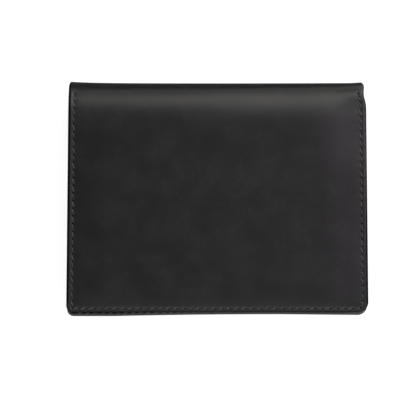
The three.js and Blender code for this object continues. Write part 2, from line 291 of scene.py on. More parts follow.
class CoverForm:
    """Form of one half's outer sheet. A place on it is its way across from the bottom side, its run from the
    free edge and round the fold, and its depth below the outer face."""

    def __init__(self, scene, half):
        self.shell = scene.wallet_shell
        self.seam = scene.wallet_seam
        self.half = half
        self.seed = HALVES.index(half) + COVER_SEED

    def bent(self, run):
        """Share of the bend that is passed, up to the middle of the fold."""
        return clamp((run - BEND_START) / BEND_LENGTH)

    def turn(self, run):
        """Angle round the fold."""
        return QUARTER_TURN * np.square(self.bent(run))

    def sides(self, run):
        """X of the bottom side and of the mouth side."""
        step_start, step_end = 0.12, 0.38
        bulge_share, bulge_middle, bulge_spread = 0.2, 0.62, 0.14
        deeper_share, deeper_start = 0.3, 0.7
        bottom_draw, draw_end, corner_start = 0.0002, 0.65, 0.6
        half = HALF_WIDTH - self.shell.fold_waist * clamp(run / COVER_LENGTH)
        round_fold = self.turn(run) / QUARTER_TURN
        stepped_in = ramp(round_fold, step_start, step_end)
        standing_out = bulge_share * hump(round_fold, bulge_middle, bulge_spread)
        drawn_deeper = deeper_share * ramp(round_fold, deeper_start, 1.0)
        notch = self.shell.mouth_notch * (stepped_in - standing_out + drawn_deeper)
        drawn_in = bottom_draw * ramp(round_fold, 0.0, draw_end)
        rounded_off = self.shell.fold_corner * ramp(round_fold, corner_start, 1.0)
        return -half + drawn_in + rounded_off, half - notch

    def free_edge_shift(self, x, run):
        """How far points near the free edge lie towards the fold from the frame's straight edge."""
        shell = self.shell
        deepest = 0.0275
        bottom_spread = 0.072
        mouth_slope = 12.0
        fades_out = 0.035
        away = x - deepest
        rise = np.where(away < 0.0, np.square(away / bottom_spread), mouth_slope * away)
        bowed = 1.0 - clamp(rise)
        if self.half == "rear":
            shift = shell.rear_bow * bowed - shell.rear_reach
        else:
            shift = shell.front_bow * bowed + shell.front_setback
        return shift * ramp(run, fades_out, 0.0)

    def place(self, across, run, depth):
        """Points of the sheet in the rear half."""
        low, high = self.sides(run)
        straight_side = 0.008
        slack = (high - low - WIDTH) * ramp(across, straight_side, WIDTH - straight_side)
        x = low + across + slack
        bottom_reach = 0.0085
        mouth_reach = 0.0055
        mouth_share = 0.42
        bow_share = 0.26
        bottom_end = np.exp(-np.maximum(across, 0.0) / bottom_reach)
        mouth_end = mouth_share * ramp(across, WIDTH - mouth_reach, WIDTH)
        bow = bow_share * np.square(2.0 * across / WIDTH - 1.0)
        swell = self.shell.fold_swell * (np.maximum(bottom_end, mouth_end) + bow)
        turn, bent = self.turn(run), self.bent(run)
        y = FREE_EDGE + np.minimum(run, BEND_START) + BEND_LENGTH * np.interp(bent, BEND_STEPS, BEND_REACH)
        y = y + self.free_edge_shift(x, run) + (swell - depth) * np.sin(turn)
        z = BEND_LENGTH * np.interp(bent, BEND_STEPS, BEND_RISE) + depth * np.cos(turn)
        return as_points(x, y, z)

    def facing(self, run):
        """Outward directions of the sheet."""
        turn = self.turn(run)
        return as_points(0.0, np.sin(turn), -np.cos(turn))

    def grid(self, inset, columns, rows, corner_low, corner_high):
        """Across, run and edge distance of a grid on the sheet, inset from its edges, with round corners."""
        across, run = np.meshgrid(columns, rows)
        low_p, low_q, low_gap = rounded_corner(across - inset, run - inset, corner_low)
        high_p, high_q, high_gap = rounded_corner(WIDTH - across - inset, run - inset, corner_high)
        at_bottom = across < WIDTH / 2
        across = np.where(at_bottom, low_p + inset, WIDTH - high_p - inset)
        run = np.where(at_bottom, low_q, high_q) + inset
        return across, run, np.where(at_bottom, low_gap, high_gap)

    def crown(self, across, run):
        """How far a cover lies below its flat outer plane: soft edges, unevenness and the front's slack."""
        shell = self.shell
        side = np.minimum(across, WIDTH - across)
        side_reach, past_cover, side_fade = 0.026, 0.004, 0.02
        side_end = COVER_LENGTH + past_cover
        side_drop = np.square(1.0 - smooth(side / side_reach)) * ramp(run, side_end, side_end - side_fade)
        free_reach, softer_reach, softer_drop = 0.0125, 0.004, 0.4
        soft_middle, soft_spread = 0.026, 0.014
        soft_spot = hump(across, soft_middle, soft_spread)
        drop_share = clamp(1.0 - run / (free_reach + softer_reach * soft_spot))
        free_drop = (1.0 + softer_drop * soft_spot) * np.square(drop_share)
        unevenness = 0.028e-3
        wavelength = 0.034
        fold_fade = 0.012
        edge_fade = 0.01
        flat = ramp(run, COVER_LENGTH, COVER_LENGTH - fold_fade) * smooth(np.minimum(side, run) / edge_fade)
        uneven = unevenness * (1.0 + ripple(across, run, wavelength, self.seed)) * flat
        corner_share = 1.0 - 0.5 * side_drop
        drop = shell.crown * side_drop + shell.free_crown * free_drop * corner_share + uneven
        if self.half == "front":
            drop = drop + self.front_slack(across, run)
        return drop

    def front_slack(self, across, run):
        """How far the front is sunk at the mouth and along the fold, less the flare of the fold's end."""
        shell = self.shell
        hollow_reach, hollow_start, hollow_full = 0.03, 0.055, 0.088
        hollow_wanes, hollow_end = 0.0875, 0.0985
        loose_across, loose_width, loose_run, loose_length = 0.089, 0.021, 0.0922, 0.0065
        flare_reach, flare_run, flare_length = 0.014, 0.0968, 0.0042
        to_mouth = np.square(ramp(across, WIDTH - hollow_reach, WIDTH))
        to_fold = ramp(run, hollow_start, hollow_full) * ramp(run, hollow_end, hollow_wanes)
        loose = hump(across, loose_across, loose_width) * hump(run, loose_run, loose_length)
        flare = hump(run, flare_run, flare_length) * ramp(across, WIDTH - flare_reach, WIDTH)
        hollow = shell.mouth_hollow * to_mouth * to_fold
        return hollow + shell.fold_hollow * loose - shell.mouth_flare * flare

    def seam_line(self):
        """The row of stitches as evenly spaced places, from the bottom end of the fold along the free edge
        to the mouth end of the fold."""
        corner_points = 24
        side, free = self.seam.inset, self.seam.free_inset
        low, high = self.shell.bottom_corner, self.shell.mouth_corner
        end = BEND_START + BEND_LENGTH * math.sqrt(SEAM_END_TURN / QUARTER_TURN)
        turn = np.linspace(0.0, QUARTER_TURN, corner_points)
        corner_low = as_points(low - (low - side) * np.cos(turn), low - (low - free) * np.sin(turn))
        corner_high = as_points(
            WIDTH - high + (high - side) * np.sin(turn), high - (high - free) * np.cos(turn)
        )
        line = np.concatenate([[[side, end]], corner_low, corner_high, [[WIDTH - side, end]]])
        return evenly(line, COVER_ROW_STEP)

    def along_seam(self, across, run, gap):
        """Where places near the edges lie beside the row of stitches: stitches counted along it, and the
        distance from it, which is more than zero on the side of the edge."""
        line = self.seam_line()
        stitches = len(evenly(line, self.seam.pitch)) - 1
        count = np.zeros(across.shape)
        beside = np.full(across.shape, FAR_FROM_SEAM)
        near = gap < SEAM_ZONE
        place = as_points(across[near], run[near])
        ahead = np.gradient(line, axis=0)
        ahead /= np.linalg.norm(ahead, axis=1, keepdims=True)
        step = np.linalg.norm(line[1] - line[0])
        counts, sides = [], []
        parts = 64
        for part in np.array_split(place, parts):
            away = part[:, None, :] - line[None, :, :]
            nearest = np.argmin(np.sum(np.square(away), axis=-1), axis=1)
            offset = away[np.arange(len(part)), nearest]
            past = np.sum(offset * ahead[nearest], axis=1)
            counts.append((nearest + past / step) / (len(line) - 1) * stitches)
            sides.append(offset[:, 0] * ahead[nearest, 1] - offset[:, 1] * ahead[nearest, 0])
        count[near] = np.concatenate(counts)
        past_ends = smooth(-count[near] - 0.5) + smooth(count[near] - stitches - 0.5)
        beside[near] = np.concatenate(sides) + FAR_FROM_SEAM * past_ends
        return count, beside

    def relief(self, count, beside, gap):
        """How far the stitches draw the leather in: a groove, a dimple at each needle hole and gathers."""
        seam = self.seam
        weakest_pull, strongest_pull = 0.3, 1.0
        towards_edge, towards_middle = 0.0006, 0.0026
        dimple_depth, dimple_reach = 2.5 * seam.groove, 0.00045
        gather_length, gather_width = 0.0009, 0.0019
        stitches = math.ceil(count.max()) + 2
        pull = np.random.default_rng(self.seed).uniform(weakest_pull, strongest_pull, stitches)
        nearest = np.round(count)
        between = (count - nearest) * seam.pitch
        hole = np.abs(between) - 0.5 * (1.0 - seam.stitch_share) * seam.pitch
        groove = seam.groove * hump(beside, 0.0, np.where(beside > 0.0, towards_edge, towards_middle))
        dimple = dimple_depth * hump(np.hypot(hole, beside), 0.0, dimple_reach)
        gather = seam.pucker * pull[np.clip(nearest, 0, len(pull) - 1).astype(int)]
        gather = gather * hump(between, 0.0, gather_length) * hump(beside, 0.0, gather_width)
        return (groove + dimple + gather) * (gap < SEAM_ZONE)


# Meshes


def to_half(points, half):
    """Points of the rear half, or the same turned over for the front half."""
    if half == "rear":
        return points
    turned = points.copy()
    turned[..., 2] = THICKNESS - turned[..., 2]
    return turned


def slab(name, half, lower, upper, flat, marks, cut_end=False):
    """A closed sheet of leather or cloth between two grids of points.

    flat gives each point's place on the flat sheet, for the materials, and marks gives named values of the
    lower and the upper grid. The grids meet along their edges, except at a straight cut across the last row.
    """
    rows, columns = lower.shape[:2]
    lower_id = np.arange(rows * columns).reshape(rows, columns)
    shared = np.zeros((rows, columns), bool)
    shared[0] = shared[:, 0] = shared[:, -1] = True
    if not cut_end:
        shared[-1] = True
    upper_id = lower_id.copy()
    upper_id[~shared] = rows * columns + np.arange(np.count_nonzero(~shared))

    def quads(ids):
        return np.stack([ids[:-1, :-1], ids[1:, :-1], ids[1:, 1:], ids[:-1, 1:]], axis=-1).reshape(-1, 4)

    faces = quads(lower_id).tolist() + quads(upper_id)[:, ::-1].tolist()
    if cut_end:
        rim = np.stack([lower_id[-1, :-1], upper_id[-1, :-1], upper_id[-1, 1:], lower_id[-1, 1:]], axis=-1)
        faces += [list(dict.fromkeys(face)) for face in rim.tolist()]
    if half == "front":
        faces = [face[::-1] for face in faces]
    points = np.concatenate([lower.reshape(-1, 3), upper[~shared]])

    def whole(below, above):
        above = above[~shared].reshape(-1, above[0, 0].size)
        return np.concatenate([below.reshape(rows * columns, -1), above])

    mesh = bpy.data.meshes.new(name)
    mesh.from_pydata(to_half(points, half).tolist(), [], faces)
    for mark, (below, above) in marks.items():
        layer = mesh.attributes.new(mark, "FLOAT", "POINT")
        layer.data.foreach_set("value", whole(below, above).astype(np.float32).ravel())
    corner = np.empty(len(mesh.loops), np.int32)
    mesh.loops.foreach_get("vertex_index", corner)
    uv = mesh.uv_layers.new(name="flat")
    uv.data.foreach_set("uv", whole(flat, flat)[corner].astype(np.float32).ravel())
    return shown(name, mesh)


def shown(name, mesh):
    """A smooth-shaded object for a mesh, with its sharp edges kept."""
    mesh.shade_smooth()
    mesh.set_sharp_from_angle(angle=math.radians(50))
    made = bpy.data.objects.new(name, mesh)
    bpy.context.scene.collection.objects.link(made)
    return made


def finish_piece(made, half, material, nodes, bends=False):
    """Gives a piece its material and lets it ride on its half; a piece that reaches round the fold has its
    place baked into its mesh instead.
    """
    made.data.materials.clear()
    made.data.materials.append(material)
    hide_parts(*nodes)
    if bends and half == "rear":
        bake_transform(made)
    elif bends:
        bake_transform(made)
    else:
        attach(made, f"{half}_half")


# Nodes


def set_inputs(node, inputs):
    """Links inputs of a node to sockets, or gives them values."""
    for place, value in inputs.items():
        if isinstance(value, bpy.types.NodeSocket):
            node.id_data.links.new(value, node.inputs[place])
        else:
            node.inputs[place].default_value = value


def add_node(tree, kind, inputs=None, **settings):
    """A node with its properties and inputs set."""
    node = tree.nodes.new(kind)
    for name, value in settings.items():
        setattr(node, name, value)
    set_inputs(node, inputs or {})
    return node


def math_node(operation, *values):
    """Result of a sum on sockets or numbers, in the tree that its sockets belong to."""
    tree = next(value.id_data for value in values if isinstance(value, bpy.types.NodeSocket))
    return add_node(tree, "ShaderNodeMath", dict(enumerate(values)), operation=operation).outputs[0]


def times(first, second):
    return math_node("MULTIPLY", first, second)


def plus(first, second):
    return math_node("ADD", first, second)


def minus(first, second):
    return math_node("SUBTRACT", first, second)


def larger(first, second):
    return math_node("MAXIMUM", first, second)


def size_of(value):
    """A value without its sign."""
    return math_node("ABSOLUTE", value)


def wave(value):
    """Rounded ribs, one for each unit of a value."""
    return size_of(math_node("SINE", times(value, math.pi)))


# Stitches


def marked_geometry(tree, geometry, name, value, domain="POINT"):
    """Geometry that carries a named value."""
    inputs = {"Geometry": geometry, "Name": name, "Value": value}
    kept = add_node(tree, "GeometryNodeStoreNamedAttribute", inputs, data_type="FLOAT", domain=domain)
    return kept.outputs["Geometry"]


def stitch_tree():
    """Node tree that lays bent stitches along a line whose points know the leather's outward direction."""
    tree = bpy.data.node_groups.new("Stitch row", "GeometryNodeTree")
    tree.is_modifier = True
    sockets = {
        "Line": "Geometry", "Count": "Int", "Length": "Float", "Thread radius": "Float", "Dip": "Float",
        "Slant": "Float", "Seed": "Int", "Thread": "Material",
    }
    for name, kind in sockets.items():
        tree.interface.new_socket(name, in_out="INPUT", socket_type=f"NodeSocket{kind}")
    tree.interface.new_socket("Stitches", in_out="OUTPUT", socket_type="NodeSocketGeometry")
    given = add_node(tree, "NodeGroupInput").outputs
    line = add_node(tree, "GeometryNodeMeshToCurve", {"Mesh": given["Line"]}).outputs["Curve"]
    spots = add_node(
        tree, "GeometryNodeCurveToPoints", {"Curve": line, "Count": given["Count"]}, mode="COUNT"
    ).outputs
    turned = stitch_rotation(tree, spots["Tangent"], given["Slant"], given["Seed"])
    thread = bent_thread(tree, given["Length"], given["Dip"], given["Thread radius"])
    placed = {"Points": spots["Points"], "Instance": thread, "Rotation": turned}
    stitches = add_node(tree, "GeometryNodeInstanceOnPoints", placed).outputs["Instances"]
    tone = add_node(tree, "FunctionNodeRandomValue", {"Seed": given["Seed"]}, data_type="FLOAT").outputs[1]
    stitches = marked_geometry(tree, stitches, "tone", tone, "INSTANCE")
    stitches = add_node(tree, "GeometryNodeRealizeInstances", {"Geometry": stitches}).outputs["Geometry"]
    finish = {"Geometry": stitches, "Material": given["Thread"]}
    stitches = add_node(tree, "GeometryNodeSetMaterial", finish).outputs["Geometry"]
    add_node(tree, "NodeGroupOutput", {"Stitches": stitches})
    return tree


def stitch_rotation(tree, tangent, slant, seed):
    """Turns a stitch along its row and away from the leather, and slants it by a little more or less."""
    wander = 0.12
    facing = add_node(
        tree, "GeometryNodeInputNamedAttribute", {"Name": "facing"}, data_type="FLOAT_VECTOR"
    ).outputs["Attribute"]
    along_row = add_node(
        tree, "FunctionNodeAxesToRotation", {"Primary Axis": tangent, "Secondary Axis": facing},
        primary_axis="X", secondary_axis="Z",
    ).outputs["Rotation"]
    extra = add_node(
        tree, "FunctionNodeRandomValue", {2: -wander, 3: wander, "Seed": seed}, data_type="FLOAT"
    ).outputs[1]
    slanted = add_node(tree, "FunctionNodeAxisAngleToRotation", {"Angle": plus(slant, extra)})
    both = {"Rotation": along_row, "Rotate By": slanted.outputs["Rotation"]}
    return add_node(tree, "FunctionNodeRotateRotation", both, rotation_space="LOCAL").outputs["Rotation"]


def bent_thread(tree, length, dip, radius):
    """One stitch: a short thread that rises out of the leather and dips back into it."""
    points_along, points_around = 7, 8
    reach = times(length, 0.5)
    sunk = times(dip, -1.0)
    start = add_node(tree, "ShaderNodeCombineXYZ", {"X": times(reach, -1.0), "Z": sunk}).outputs[0]
    crest = add_node(tree, "ShaderNodeCombineXYZ", {"Z": dip}).outputs[0]
    end = add_node(tree, "ShaderNodeCombineXYZ", {"X": reach, "Z": sunk}).outputs[0]
    arc = {"Resolution": points_along, "Start": start, "Middle": crest, "End": end}
    path = add_node(tree, "GeometryNodeCurveQuadraticBezier", arc).outputs["Curve"]
    circle = {"Resolution": points_around, "Radius": radius}
    ring = add_node(tree, "GeometryNodeCurvePrimitiveCircle", circle).outputs["Curve"]
    along = add_node(tree, "GeometryNodeSplineParameter").outputs["Factor"]
    around = add_node(tree, "GeometryNodeSplineParameter").outputs["Factor"]
    sweep = {
        "Curve": marked_geometry(tree, path, "along", along),
        "Profile Curve": marked_geometry(tree, ring, "around", around),
        "Fill Caps": True,
    }
    return add_node(tree, "GeometryNodeCurveToMesh", sweep).outputs["Mesh"]


def stitch_row(name, rows, seam, thread):
    """One mesh of stitches along one or more lines, each given as points and their outward directions."""
    tree = bpy.data.node_groups.get("Stitch row") or stitch_tree()
    sockets = {item.name: item.identifier for item in tree.interface.items_tree if item.in_out == "INPUT"}
    dip_share = 1.5
    meshes = []
    for points, facing in rows:
        path = bpy.data.meshes.new(f"{name}_line")
        path.from_pydata(points.tolist(), [(i, i + 1) for i in range(len(points) - 1)], [])
        outward = path.attributes.new("facing", "FLOAT_VECTOR", "POINT")
        outward.data.foreach_set("vector", facing.astype(np.float32).ravel())
        holder = bpy.data.objects.new(f"{name}_line", path)
        bpy.context.scene.collection.objects.link(holder)
        length = float(np.linalg.norm(np.diff(points, axis=0), axis=1).sum())
        values = {
            "Count": max(2, round(length / seam.pitch) + 1),
            "Length": seam.stitch_share * seam.pitch,
            "Thread radius": seam.thread_radius,
            "Dip": dip_share * seam.thread_radius,
            "Slant": seam.slant,
            "Seed": seam.seed,
            "Thread": thread,
        }
        row = holder.modifiers.new("Stitches", "NODES")
        row.node_group = tree
        for label, value in values.items():
            row[sockets[label]] = value
        seen = holder.evaluated_get(bpy.context.evaluated_depsgraph_get())
        meshes.append(bpy.data.meshes.new_from_object(seen))
        bpy.data.objects.remove(holder)
        bpy.data.meshes.remove(path)
    made = shown(name, meshes[0])
    parts = [shown(f"{name}_{i}", mesh) for i, mesh in enumerate(meshes[1:], 1)]
    if parts:
        with bpy.context.temp_override(active_object=made, selected_editable_objects=[made, *parts]):
            bpy.ops.object.join()
    return made


# Materials


def eased(value, low, high, to_low=0.0, to_high=1.0):
    """A value eased from one range into another."""
    inputs = {"Value": value, "From Min": low, "From Max": high, "To Min": to_low, "To Max": to_high}
    node = add_node(value.id_data, "ShaderNodeMapRange", inputs, interpolation_type="SMOOTHSTEP")
    return node.outputs["Result"]


def noise(place, scale, detail=3.0, roughness=0.55, distortion=0.0):
    """A noise value on scaled flat places."""
    inputs = {
        "Vector": place, "Scale": scale, "Detail": detail, "Roughness": roughness, "Distortion": distortion,
    }
    return add_node(place.id_data, "ShaderNodeTexNoise", inputs, noise_dimensions="2D").outputs["Fac"]


def shade(colour, factor):
    """A darker or lighter colour."""
    return tuple(factor * part for part in colour)


def tinted(factor, first, second):
    """A colour between two colours, each a socket or three numbers."""
    colours = {6: first, 7: second}  # the places of a mix node's colour sockets
    for place, value in colours.items():
        if not isinstance(value, bpy.types.NodeSocket):
            colours[place] = (*value, 1.0)
    return add_node(factor.id_data, "ShaderNodeMix", {0: factor, **colours}, data_type="RGBA").outputs[2]


def bumped(height, strength, distance):
    """A normal raised by a height."""
    inputs = {"Height": height, "Strength": strength, "Distance": distance}
    return add_node(height.id_data, "ShaderNodeBump", inputs).outputs["Normal"]


def mark_value(tree, name):
    """A named value that the piece's points carry."""
    return add_node(tree, "ShaderNodeAttribute", attribute_name=name).outputs["Fac"]


def flat_place(tree):
    """Place on the flat sheet before it was folded and sewn."""
    return add_node(tree, "ShaderNodeUVMap", uv_map="flat").outputs["UV"]


def shader_group(name, inputs, outputs):
    """A shader node group on flat places with nothing in it yet, and the sockets of its inputs."""
    tree = bpy.data.node_groups.new(name, "ShaderNodeTree")
    tree.interface.new_socket("Place", in_out="INPUT", socket_type="NodeSocketVector")
    for label, value in inputs.items():
        socket = tree.interface.new_socket(label, in_out="INPUT", socket_type="NodeSocketFloat")
        socket.default_value = value
    for label in outputs:
        tree.interface.new_socket(label, in_out="OUTPUT", socket_type="NodeSocketFloat")
    return tree, add_node(tree, "NodeGroupInput").outputs


def hide_grain_group():
    """Grain of a smooth finished hide: small pebbles, pores, faint creases and slow mottling."""
    tree, given = shader_group("Hide grain", {"Pebble size": 0.0007}, ("Height", "Mottle", "Creases"))
    place = given["Place"]
    scale = math_node("DIVIDE", 1.0, given["Pebble size"])
    pebbles = add_node(
        tree, "ShaderNodeTexVoronoi", {"Vector": place, "Scale": scale, "Smoothness": 0.35},
        voronoi_dimensions="2D", feature="SMOOTH_F1",
    ).outputs["Distance"]
    domes = minus(1.0, pebbles)
    pores_per_pebble = 2.6
    dome_height = 0.6
    pore_height = 0.4
    crease_width = 0.035
    crease_depth = 0.5
    pores = noise(place, scale=times(scale, pores_per_pebble), detail=2.0)
    mottle = noise(place, scale=75.0, detail=4.0)
    lines = noise(place, scale=210.0, roughness=0.5, distortion=0.6)
    ridge = size_of(minus(lines, 0.5))
    creases = times(eased(ridge, 0.0, crease_width, 1.0, 0.0), eased(mottle, 0.45, 0.65))
    height = plus(times(domes, dome_height), times(pores, pore_height))
    height = minus(height, times(creases, crease_depth))
    add_node(tree, "NodeGroupOutput", {"Height": height, "Mottle": mottle, "Creases": creases})
    return tree


def weave_group():
    """Twill weave: slanted ribs of warp crossed by a finer weft."""
    tree, given = shader_group("Twill weave", {"Thread size": 0.0004}, ("Height", "Shade"))
    scale = math_node("DIVIDE", 1.0, given["Thread size"])
    split = add_node(tree, "ShaderNodeSeparateXYZ", {0: given["Place"]}).outputs
    x = times(split["X"], scale)
    y = times(split["Y"], scale)
    ribs = wave(plus(x, y))
    crossing = size_of(math_node("SINE", times(x, math.tau)))
    warp_height, weft_height = 0.75, 0.25
    height = plus(times(ribs, warp_height), times(crossing, weft_height))
    uneven = noise(given["Place"], scale=900.0)
    # rib tops painted lighter and the grooves darker: painted highlight and painted shade
    shading = times(height, eased(uneven, 0.3, 0.7, 0.7, 1.15))
    add_node(tree, "NodeGroupOutput", {"Height": height, "Shade": shading})
    return tree


def edge_finish_group():
    """Masks beside an edge: dark edge paint, and the ridge inside it, which is lighter partly from rubbing
    and partly as a painted highlight.
    """
    tree, given = shader_group("Edge finish", {"Edge gap": 1.0}, ("Paint", "Ridge rub and highlight"))
    gap = given["Edge gap"]
    paint_full, paint_end = 0.0005, 0.0014
    rub_start, rub_full, rub_wanes, rub_end = 0.0008, 0.0017, 0.0024, 0.0036
    patchy = eased(noise(given["Place"], scale=420.0), 0.35, 0.65, 0.5, 1.0)
    paint = eased(gap, paint_full, paint_end, 1.0, 0.0)
    ridge = times(eased(gap, rub_start, rub_full), eased(gap, rub_wanes, rub_end, 1.0, 0.0))
    add_node(tree, "NodeGroupOutput", {"Paint": paint, "Ridge rub and highlight": times(ridge, patchy)})
    return tree


def group_outputs(tree, name, builder, inputs):
    """Outputs of a shared group, which is built the first time it is asked for."""
    group = bpy.data.node_groups.get(name) or builder()
    return add_node(tree, "ShaderNodeGroup", inputs, node_tree=group).outputs


def blank_material(name):
    """A new material, its node tree and its shader."""
    material = bpy.data.materials.new(name)
    material.use_nodes = True
    return material, material.node_tree, material.node_tree.nodes["Principled BSDF"]


def needle_hole_mask(tree, seam):
    """Holes where the needle went through the leather, painted dark as painted shade inside them, one at
    each end of a stitch.
    """
    hole, rim = 0.00026, 0.00046
    count = mark_value(tree, "stitch_count")
    share = size_of(minus(count, math_node("ROUND", count)))
    along = times(minus(share, 0.5 * (1.0 - seam.stitch_share)), seam.pitch)
    along = math_node("POWER", along, 2.0)
    across = math_node("POWER", mark_value(tree, "beside_seam"), 2.0)
    away = math_node("SQRT", plus(along, across))
    return eased(away, hole, rim, 1.0, 0.0)


def fold_wrinkles(tree, place):
    """Fine ridges that run along the fold."""
    stretch = {0: place, 1: (0.08, 1.0, 0.0)}
    stretched = add_node(tree, "ShaderNodeVectorMath", stretch, operation="MULTIPLY").outputs[0]
    return eased(noise(stretched, scale=1300.0, detail=1.5), 0.42, 0.7)


def leather_material(name, colour, pebble, roughness, bump, seam=None):
    """Finished black hide with grain, mottling, edge paint and a ridge along its edges that is lighter
    partly from rubbing and partly as a painted highlight; creases get painted shade. A sewn cover also has
    needle holes with painted shade, a matt spine painted darker as a painted dark reflection with painted
    highlights on its wrinkles, and a turned rim painted light as a painted highlight."""
    material, tree, shader = blank_material(name)
    place = flat_place(tree)
    grain = group_outputs(tree, "Hide grain", hide_grain_group, {"Place": place, "Pebble size": pebble})
    beside_edge = {"Place": place, "Edge gap": mark_value(tree, "edge_gap")}
    edge = group_outputs(tree, "Edge finish", edge_finish_group, beside_edge)
    dark, light, rubbed = shade(colour, 0.87), shade(colour, 1.13), shade(colour, 2.6)
    # black is the colour of the edge paint, and of the painted shade and painted dark reflection
    black, rim_highlight_colour = shade(colour, 0.3), shade(colour, 14.0)
    base = tinted(eased(grain["Mottle"], 0.3, 0.7), dark, light)
    crease_rub, matt, grain_depth = 0.25, 0.95, 0.00012
    base = tinted(times(grain["Creases"], crease_rub), base, rubbed)
    # the ridge inside the edge paint is painted lighter: partly rubbed wear, partly a painted highlight
    base = tinted(edge["Ridge rub and highlight"], base, rubbed)
    # edge paint, and the creases' painted shade, darken the colour and make it matt
    matt_paint_and_shade = larger(edge["Paint"], mark_value(tree, "crease"))
    height = grain["Height"]
    finish = {"IOR": 1.4}
    if seam:
        hole_depth = 2.0
        wrinkle_height = 0.16
        wrinkle_shine = 0.22
        mark_share = 0.7
        spine_share = 0.3
        # the needle holes get painted shade in the colour, and are dented by the bump
        holes = needle_hole_mask(tree, seam)
        matt_paint_and_shade = larger(matt_paint_and_shade, holes)
        # the spine is painted darker as a painted dark reflection; its wrinkles are painted lighter as
        # painted highlights
        spine = mark_value(tree, "spine")
        wrinkles = times(fold_wrinkles(tree, place), spine)
        spine = minus(spine, times(wrinkles, wrinkle_shine))
        finish["Metallic"] = larger(times(matt_paint_and_shade, mark_share), times(spine, spine_share))
        matt_paint_and_shade = larger(matt_paint_and_shade, spine)
        height = minus(height, times(holes, hole_depth))
        height = plus(height, times(wrinkles, wrinkle_height))
    # darkens the colour under edge paint, painted shade in creases and holes, and the spine's painted dark
    # reflection
    base = tinted(matt_paint_and_shade, base, black)
    if seam:
        # the inner side of the turned rim is painted light: a painted highlight
        base = tinted(mark_value(tree, "rim_highlight"), base, rim_highlight_colour)
    finish["Base Color"] = base
    smoothest, roughest = roughness - 0.015, roughness + 0.025
    gloss = eased(grain["Mottle"], 0.25, 0.75, smoothest, roughest)
    dulled = add_node(tree, "ShaderNodeMix", {0: matt_paint_and_shade, 2: gloss, 3: matt}, data_type="FLOAT")
    finish["Roughness"] = dulled.outputs[0]
    finish["Normal"] = bumped(height, bump, grain_depth)
    set_inputs(shader, finish)
    return material


def cover_leather(scene):
    """Smooth hide of the covers."""
    colour = tuple(scene.wallet_finish.cover_colour)
    return leather_material(
        "black_cover_hide", colour, pebble=0.0006, roughness=0.4, bump=0.18, seam=scene.wallet_seam
    )


def inner_leather(scene):
    """Coarser hide of the panels and pockets."""
    colour = tuple(scene.wallet_finish.inner_colour)
    return leather_material("black_pocket_hide", colour, pebble=0.0009, roughness=0.48, bump=0.5)


def lining_cloth(scene):
    """Matt twill lining, its weave painted lighter on the ribs and darker between them as painted highlight
    and painted shade.
    """
    material, tree, shader = blank_material("twill_lining")
    weave = group_outputs(tree, "Twill weave", weave_group, {"Place": flat_place(tree)})
    colour = tuple(scene.wallet_finish.lining_colour)
    finish = {
        "Base Color": tinted(weave["Shade"], shade(colour, 0.45), shade(colour, 1.7)),
        "Roughness": 0.82,
        "Sheen Weight": 0.25,
        "Normal": bumped(weave["Height"], strength=0.6, distance=0.0001),
    }
    set_inputs(shader, finish)
    return material


def board_material(scene):
    """Bonded fibre board."""
    material, tree, shader = blank_material("fibre_board")
    fibres = noise(flat_place(tree), scale=700.0, detail=5.0, distortion=1.5)
    colour = tuple(scene.wallet_finish.board_colour)
    finish = {
        "Base Color": tinted(eased(fibres, 0.3, 0.7), shade(colour, 0.7), shade(colour, 1.25)),
        "Roughness": 0.85,
        "Normal": bumped(fibres, strength=0.4, distance=0.0001),
    }
    set_inputs(shader, finish)
    return material


def thread_material(scene):
    """Waxed twisted thread: slanted plies along each stitch, painted lighter on their crests as a painted
    highlight.
    """
    turns_along, plies_around = 4.0, 2.0
    material, tree, shader = blank_material("waxed_thread")
    along = times(mark_value(tree, "along"), turns_along)
    plies = wave(plus(along, times(mark_value(tree, "around"), plies_around)))
    # each ply's crest is painted lighter as a painted highlight, more or less by the stitch's random tone
    painted_ply_highlight = times(plies, eased(mark_value(tree, "tone"), 0.0, 1.0, 0.4, 1.0))
    colour = tuple(scene.wallet_finish.thread_colour)
    finish = {
        "Base Color": tinted(painted_ply_highlight, shade(colour, 0.3), shade(colour, 1.9)),
        "Roughness": 0.38,
        "Normal": bumped(plies, strength=0.7, distance=0.00012),
    }
    set_inputs(shader, finish)
    return material


# Operators


